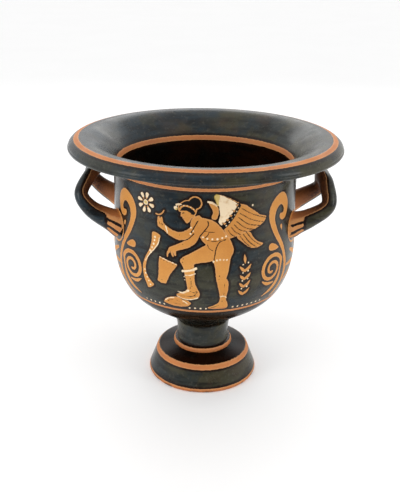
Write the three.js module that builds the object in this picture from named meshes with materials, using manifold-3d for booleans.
// Bell krater: a wheel-thrown clay bowl shaped like a bell turned upside down, with a wide lip,
// a short stem, a disc foot that is hollow underneath, and two looped handles at its sides.
// Millimetres, +Z up. The origin is the centre of the face that the foot rests on, the handles
// are at +X and -X, and the painted front faces -Y.
import * as THREE from "three";
import { mergeVertices } from "three/addons/utils/BufferGeometryUtils.js";
import Module from "manifold-3d";

// Foot
const FOOT_RADIUS = 60.3;
const FOOT_HEIGHT = 28.4;
const FOOT_TOP_RADIUS = 50.4;
const FOOT_CORNER = 2.2;
const FOOT_EDGE = 2.4;
const FOOT_TOP_RISE = 5.2;
const RESTING_RING = 8.5;

// Ring moulding between the foot and the stem
const MOULDING_WIDTH = 4.2;
const MOULDING_HEIGHT = 5;

// Stem, and the hollow that runs up into it from below
const STEM_RADIUS = 28.2;
const STEM_FLARE = 2;
const STEM_LENGTH = 25.4;
const STEM_WALL = 11;

// Bowl
const BELLY_RADIUS = 95.8;
const BELLY_RISE = 93;
const BOWL_WALL = 6;
const FLOOR = 12;
const FLOOR_ABOVE_STEM = 9.3;
const WALL_RISE = 79;
const WALL_TAPER = 1.4;
const WALL_DRAWN_IN = 2.8;

// Lip
const LIP_OVERHANG = 44.5;
const LIP_RISE = 22.4;
const LIP_BEAD = 1.8;
const LIP_FACE = 12;
const LIP_SHOULDER = 13.7;
const THROAT_RISE = 6;

// Handles, as the knots of one half of each loop: where the arm leaves the wall, the arm's
// outward bend, the upper bend, the crossbar's shoulder, and the crossbar's middle. Reach is
// measured from the belly's radius, spread from the plane that halves the loop, and height from
// the belly. Radius is the clay roll's own.
const LEFT_ROOT = { spread: 36, height: 27.4, radius: 12.7 };
const LEFT_ARM = { reach: 18.1, spread: 39, height: 45.4, radius: 8.4 };
const LEFT_BEND = { reach: 27.8, spread: 34.5, height: 58.9, radius: 6.9 };
const LEFT_SHOULDER = { reach: 20.4, spread: 16.6, height: 73.9, radius: 6.9 };
const LEFT_BAR = { reach: 17.6, height: 75.6, radius: 6.9 };
const RIGHT_ROOT = { spread: 30.5, height: 26.7, radius: 12.8 };
const RIGHT_ARM = { reach: 10.5, spread: 33.8, height: 36.5, radius: 9.6 };
const RIGHT_BEND = { reach: 28.5, spread: 31, height: 49.2, radius: 7.7 };
const RIGHT_SHOULDER = { reach: 27.9, spread: 16.5, height: 66, radius: 7.6 };
const RIGHT_BAR = { reach: 26, height: 70.2, radius: 7.6 };

// How many straight steps stand for each round form
const TURNS = 64;
const HANDLE_SIDES = 10;
const HANDLE_STEPS_PER_STRETCH = 3;
const HOLLOW_STEPS = 5;
const EDGE_STEPS = 2;
const MOULDING_STEPS = 3;
const STEM_STEPS = 3;
const BOWL_STEPS = 7;
const WALL_STEPS = 2;
const LIP_STEPS = 4;
const BEAD_STEPS = 3;
const FLOOR_STEPS = 2;
const MERGE_DISTANCE = 1e-4;

// Heights that follow from the sizes
const mouldingBase = FOOT_HEIGHT + FOOT_TOP_RISE;
const stemBase = mouldingBase + MOULDING_HEIGHT;
const stemTop = stemBase + STEM_LENGTH;
const bellyHeight = stemTop + BELLY_RISE;
const neckHeight = bellyHeight + WALL_RISE;
const lipUnderside = neckHeight + LIP_RISE;
const lipCrest = lipUnderside + LIP_FACE;

// Heights of the floor inside the bowl and of the hollow's top below it
const floorHeight = stemTop + FLOOR_ABOVE_STEM - BOWL_WALL;
const hollowTop = floorHeight - FLOOR;

// Radii that follow from the sizes
const stemTopRadius = STEM_RADIUS + STEM_FLARE;
const neckRadius = BELLY_RADIUS - WALL_TAPER;
const lipRadius = neckRadius + LIP_OVERHANG;
const crestRadius = lipRadius - LIP_SHOULDER;

const at = (radius, height) => new THREE.Vector2(radius, height);
const bezier = (...points) => new THREE.CubicBezierCurve(...points);
const lerp = THREE.MathUtils.lerp;

// Points along a curve, moved to its left by an offset.
function along(curve, steps, offset = 0) {
  return Array.from({ length: steps + 1 }, (_, i) => {
    const point = curve.getPoint(i / steps);
    const ahead = curve.getTangent(i / steps);
    return at(point.x - ahead.y * offset, point.y + ahead.x * offset);
  });
}

// The round stretch between two straight runs that would meet at a corner.
function rounded(before, corner, after, radius, steps) {
  const start = corner.clone().add(before.clone().sub(corner).setLength(radius));
  const end = corner.clone().add(after.clone().sub(corner).setLength(radius));
  return along(new THREE.QuadraticBezierCurve(start, corner, end), steps);
}

// A half-round ring that stands out from a surface between two points of it.
function bulge(bottom, top, outward, steps) {
  return along(bezier(bottom, at(outward, bottom.y), at(outward, top.y), top), steps);
}

// The bowl's outer side: from the stem round to the belly, and from there up to the neck.
const bowlCurve = bezier(
  at(stemTopRadius, stemTop),
  at(lerp(stemTopRadius, BELLY_RADIUS, 0.371), lerp(stemTop, bellyHeight, 0.308)),
  at(lerp(stemTopRadius, BELLY_RADIUS, 0.963), lerp(stemTop, bellyHeight, 0.281)),
  at(BELLY_RADIUS, bellyHeight),
);
const wallCurve = bezier(
  at(BELLY_RADIUS, bellyHeight),
  at(BELLY_RADIUS, lerp(bellyHeight, neckHeight, 0.35)),
  at(BELLY_RADIUS - WALL_DRAWN_IN, lerp(bellyHeight, neckHeight, 0.6)),
  at(neckRadius, neckHeight),
);

// The hollow under the foot, from its top on the axis down to the resting face.
function underside() {
  const bore = STEM_RADIUS - STEM_WALL;
  const mouth = FOOT_RADIUS - FOOT_EDGE - RESTING_RING;
  const dome = bezier(at(0, hollowTop), at(bore, hollowTop), at(bore, 0.45 * hollowTop), at(mouth, 0));
  return along(dome, HOLLOW_STEPS);
}

// The foot's rounded lower edge, tapered side, upper corner and sloping top.
function foot() {
  const lowest = at(FOOT_RADIUS - FOOT_EDGE, 0);
  const widest = at(FOOT_RADIUS, FOOT_EDGE);
  const edge = new THREE.QuadraticBezierCurve(lowest, at(FOOT_RADIUS, 0), widest);
  const corner = at(FOOT_TOP_RADIUS, FOOT_HEIGHT);
  const topEnd = at(STEM_RADIUS + MOULDING_WIDTH, mouldingBase);
  return [...along(edge, EDGE_STEPS), ...rounded(widest, corner, topEnd, FOOT_CORNER, EDGE_STEPS)];
}

function moulding() {
  const bottom = at(STEM_RADIUS + 0.8 * MOULDING_WIDTH, mouldingBase);
  const top = at(STEM_RADIUS + 0.1 * MOULDING_WIDTH, stemBase);
  return bulge(bottom, top, STEM_RADIUS + 1.1 * MOULDING_WIDTH, MOULDING_STEPS);
}

function stem() {
  const waist = bezier(
    at(STEM_RADIUS + 0.2 * STEM_FLARE, lerp(stemBase, stemTop, 0.06)),
    at(STEM_RADIUS - 0.3 * STEM_FLARE, lerp(stemBase, stemTop, 0.4)),
    at(STEM_RADIUS + 0.3 * STEM_FLARE, lerp(stemBase, stemTop, 0.75)),
    at(stemTopRadius, stemTop),
  );
  return along(waist, STEM_STEPS).slice(0, -1);
}

// The lip: its curved underside, the bead at its lower edge, and its outer face up to the crest.
function lip() {
  const beadBottom = at(lipRadius - LIP_BEAD, lipUnderside);
  const beadTop = at(lipRadius - 0.3 * LIP_BEAD, lipUnderside + 2 * LIP_BEAD);
  const underside = bezier(
    at(neckRadius, neckHeight),
    at(neckRadius + 0.03 * LIP_OVERHANG, lerp(neckHeight, lipUnderside, 0.62)),
    at(neckRadius + 0.38 * LIP_OVERHANG, lerp(neckHeight, lipUnderside, 0.95)),
    beadBottom,
  );
  const face = bezier(
    at(beadTop.x, beadTop.y + 0.2 * LIP_BEAD),
    at(beadTop.x, lerp(beadTop.y, lipCrest, 0.45)),
    at(lerp(crestRadius, lipRadius, 0.5), lipCrest),
    at(crestRadius, lipCrest),
  );
  return [
    ...along(underside, LIP_STEPS).slice(1, -1),
    ...bulge(beadBottom, beadTop, lipRadius + 0.3 * LIP_BEAD, BEAD_STEPS),
    ...along(face, LIP_STEPS),
  ];
}

// The inside: down the flare of the mouth, the wall, and the bowl to the floor on the axis.
function inside() {
  const throat = at(neckRadius - BOWL_WALL, neckHeight + THROAT_RISE);
  const flare = bezier(
    at(crestRadius, lipCrest),
    at(lerp(crestRadius, throat.x, 0.42), lerp(lipCrest, throat.y, 0.02)),
    at(lerp(crestRadius, throat.x, 0.88), lerp(lipCrest, throat.y, 0.58)),
    throat,
  );
  const wall = along(wallCurve, WALL_STEPS, BOWL_WALL).reverse();
  const bowl = along(bowlCurve, BOWL_STEPS, BOWL_WALL).reverse();
  const floorEdge = bowl.at(-1);
  const floor = at(0, floorHeight);
  const floorCurve = new THREE.QuadraticBezierCurve(floorEdge, at(0.5 * floorEdge.x, floor.y), floor);
  return [
    ...along(flare, LIP_STEPS + 1).slice(1),
    ...wall.slice(1),
    ...bowl.slice(1),
    ...along(floorCurve, FLOOR_STEPS).slice(1),
  ];
}

const profile = [
  ...underside(),
  ...foot(),
  ...moulding(),
  ...stem(),
  ...along(bowlCurve, BOWL_STEPS),
  ...along(wallCurve, WALL_STEPS).slice(1),
  ...lip(),
  ...inside(),
];

// A handle's middle line, at the side of +X or -X. It starts inside the bowl, so that the loop
// grows out of the wall.
function handlePath(side, half, bar) {
  const knot = ({ reach = -2 * BOWL_WALL, spread = 0, height }, sign) =>
    new THREE.Vector3(side * (BELLY_RADIUS + reach), sign * spread, bellyHeight + height);
  const there = half.map((sizes) => knot(sizes, -1));
  const back = half.toReversed().map((sizes) => knot(sizes, 1));
  return new THREE.CatmullRomCurve3([...there, knot(bar, 1), ...back], false, "centripetal");
}

// A round loop whose thickness changes from knot to knot along its path, closed at both ends.
function handleLoop(side, root, arm, bend, shoulder, bar) {
  const half = [root, arm, bend, shoulder];
  const path = handlePath(side, half, bar);
  const radii = [...half, bar, ...half.toReversed()].map((knot) => knot.radius);
  const stretches = radii.length - 1;
  const steps = HANDLE_STEPS_PER_STRETCH * stretches;
  const { normals, binormals } = path.computeFrenetFrames(steps, false);
  const points = [path.getPointAt(0), path.getPointAt(1)];
  for (let i = 0; i <= steps; i++) {
    const place = path.getUtoTmapping(i / steps) * stretches;
    const knot = Math.min(Math.floor(place), stretches - 1);
    const radius = lerp(radii[knot], radii[knot + 1], place - knot);
    for (let j = 0; j < HANDLE_SIDES; j++) {
      const angle = (2 * Math.PI * j) / HANDLE_SIDES;
      const point = path.getPointAt(i / steps);
      point.addScaledVector(normals[i], radius * Math.cos(angle));
      point.addScaledVector(binormals[i], radius * Math.sin(angle));
      points.push(point);
    }
  }
  const corner = (i, j) => 2 + i * HANDLE_SIDES + (j % HANDLE_SIDES);
  const faces = [];
  for (let j = 0; j < HANDLE_SIDES; j++) {
    faces.push(0, corner(0, j + 1), corner(0, j));
    faces.push(1, corner(steps, j), corner(steps, j + 1));
    for (let i = 0; i < steps; i++) {
      faces.push(corner(i, j), corner(i, j + 1), corner(i + 1, j + 1));
      faces.push(corner(i, j), corner(i + 1, j + 1), corner(i + 1, j));
    }
  }
  return new THREE.BufferGeometry().setFromPoints(points).setIndex(faces);
}

const wasm = await Module();
wasm.setup();

// A closed geometry as a solid that can be joined and cut.
function solidOf(geometry) {
  geometry.deleteAttribute("normal");
  geometry.deleteAttribute("uv");
  const { attributes, index } = mergeVertices(geometry, MERGE_DISTANCE);
  const corners = [];
  for (let i = 0; i < index.count; i += 3) {
    const [a, b, c] = index.array.slice(i, i + 3);
    if (a !== b && b !== c && c !== a) corners.push(a, b, c);
  }
  const vertProperties = new Float32Array(attributes.position.array);
  const triVerts = new Uint32Array(corners);
  return new wasm.Manifold(new wasm.Mesh({ numProp: 3, vertProperties, triVerts }));
}

function geometryOf(solid) {
  const { vertProperties, triVerts } = solid.getMesh();
  const geometry = new THREE.BufferGeometry();
  geometry.setAttribute("position", new THREE.BufferAttribute(vertProperties, 3));
  geometry.setIndex(new THREE.BufferAttribute(triVerts, 1));
  geometry.computeVertexNormals();
  return geometry;
}

// What lies inside the middle of the wall's thickness: each loop ends there.
function wallCore() {
  const radius = BELLY_RADIUS - BOWL_WALL / 2;
  const upright = new THREE.CylinderGeometry(radius, radius, WALL_RISE, TURNS).rotateX(Math.PI / 2);
  return solidOf(upright.translate(0, 0, bellyHeight + WALL_RISE / 2));
}

const core = wallCore();
const turned = solidOf(new THREE.LatheGeometry(profile, TURNS).rotateX(Math.PI / 2));
const loops = [
  handleLoop(-1, LEFT_ROOT, LEFT_ARM, LEFT_BEND, LEFT_SHOULDER, LEFT_BAR),
  handleLoop(1, RIGHT_ROOT, RIGHT_ARM, RIGHT_BEND, RIGHT_SHOULDER, RIGHT_BAR),
];
const withHandles = loops.reduce((body, loop) => body.add(solidOf(loop).subtract(core)), turned);

const slip = new THREE.MeshStandardMaterial({ color: 0x24262a, roughness: 0.35, metalness: 0 });
const krater = new THREE.Mesh(geometryOf(withHandles), slip);
krater.name = "krater";

const vessel = new THREE.Group();
vessel.add(krater);
export default vessel;
